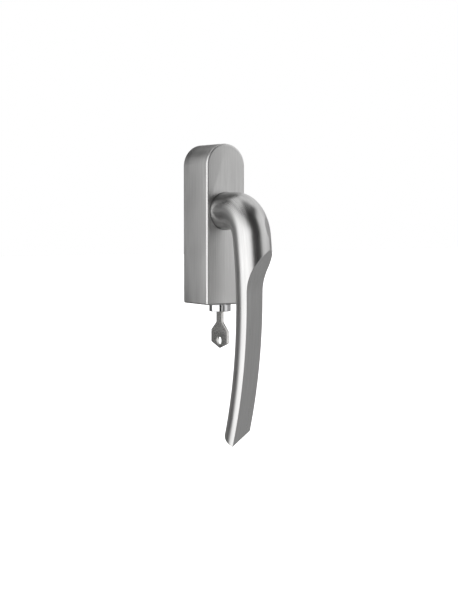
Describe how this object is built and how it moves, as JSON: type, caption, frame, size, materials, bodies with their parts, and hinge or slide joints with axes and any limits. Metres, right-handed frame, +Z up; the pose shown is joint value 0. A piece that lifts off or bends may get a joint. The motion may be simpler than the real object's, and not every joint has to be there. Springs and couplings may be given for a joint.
{
  "type": "tilt and turn window handle",
  "caption": "Lockable window handle: bowed half-round lever bent from a round neck, on a block housing with a full-round top and a keyed lock in its square bottom.",
  "frame": {"origin": "the spindle's axis on the mounting plane, where the housing seats on the sash", "axes": "+Z up along the housing, -Y out towards the room, +X to the right as seen from the room; the lever hangs down, closed"},
  "size_m": [0.028, 0.0883, 0.1889],
  "materials": {
    "housing": "fine brushed satin",
    "base_plate": "zinc plated",
    "mounting_screw_upper": "zinc plated",
    "mounting_screw_lower": "zinc plated",
    "neck_bushing": "moulded nylon",
    "hub_bearing": "moulded nylon",
    "gear_cage": "moulded nylon",
    "detent_spring_left": "blued spring steel",
    "detent_spring_right": "blued spring steel",
    "lock_barrel": "polished",
    "barrel_fork": "zinc plated",
    "bolt_guide": "moulded nylon",
    "bolt_return_spring": "blued spring steel",
    "housing_grub_screw": "zinc plated",
    "lever": "fine brushed satin",
    "spindle": "zinc plated",
    "index_hub": "zinc plated",
    "neck_circlip": "blued spring steel",
    "lever_grub_screw": "zinc plated",
    "cylinder_plug": "machined",
    "plug_clip": "blued spring steel",
    "lock_cam": "zinc plated",
    "wafer_1": "machined",
    "wafer_2": "machined",
    "wafer_3": "machined",
    "wafer_4": "machined",
    "wafer_5": "machined",
    "lock_bolt": "zinc plated",
    "key": "nickel plated"
  },
  "bodies": {
    "base": {"housing": "housing", "base_plate": "base_plate", "mounting_screw_upper": "mounting_screw_upper", "mounting_screw_lower": "mounting_screw_lower", "neck_bushing": "neck_bushing", "hub_bearing": "hub_bearing", "gear_cage": "gear_cage", "detent_spring_left": "detent_spring_left", "detent_spring_right": "detent_spring_right", "lock_barrel": "lock_barrel", "barrel_fork": "barrel_fork", "bolt_guide": "bolt_guide", "bolt_return_spring": "bolt_return_spring", "housing_grub_screw": "housing_grub_screw"},
    "handle": {"lever": "lever", "spindle": "spindle", "index_hub": "index_hub", "neck_circlip": "neck_circlip", "lever_grub_screw": "lever_grub_screw"},
    "plug": {"cylinder_plug": "cylinder_plug", "plug_clip": "plug_clip", "lock_cam": "lock_cam", "wafer_1": "wafer_1", "wafer_2": "wafer_2", "wafer_3": "wafer_3", "wafer_4": "wafer_4", "wafer_5": "wafer_5"},
    "bolt": {"lock_bolt": "lock_bolt"},
    "key": {"key": "key"}
  },
  "joints": [
    {"name": "handle_turn", "type": "hinge", "parent": "base", "child": "handle", "pos_m": [0, 0, 0], "axis": [0, -1, 0], "range_deg": [0, 180], "deforming": ["detent_spring_left", "detent_spring_right"]},
    {"name": "plug_turn", "type": "hinge", "parent": "base", "child": "plug", "pos_m": [0, -0.0217, 0], "axis": [0, 0, 1], "range_deg": [0, 90]},
    {"name": "bolt_slide", "type": "slide", "parent": "base", "child": "bolt", "axis": [0, 0, 1], "range_m": [0, 0.0032], "deforming": ["bolt_return_spring"]},
    {"name": "key_slide", "type": "slide", "parent": "plug", "child": "key", "axis": [0, 0, -1], "range_m": [0, 0.025]}
  ],
  "couplings": [
    {"joint": "bolt_slide", "follows": "plug_turn", "m_per_rad": 0.002037}
  ]
}
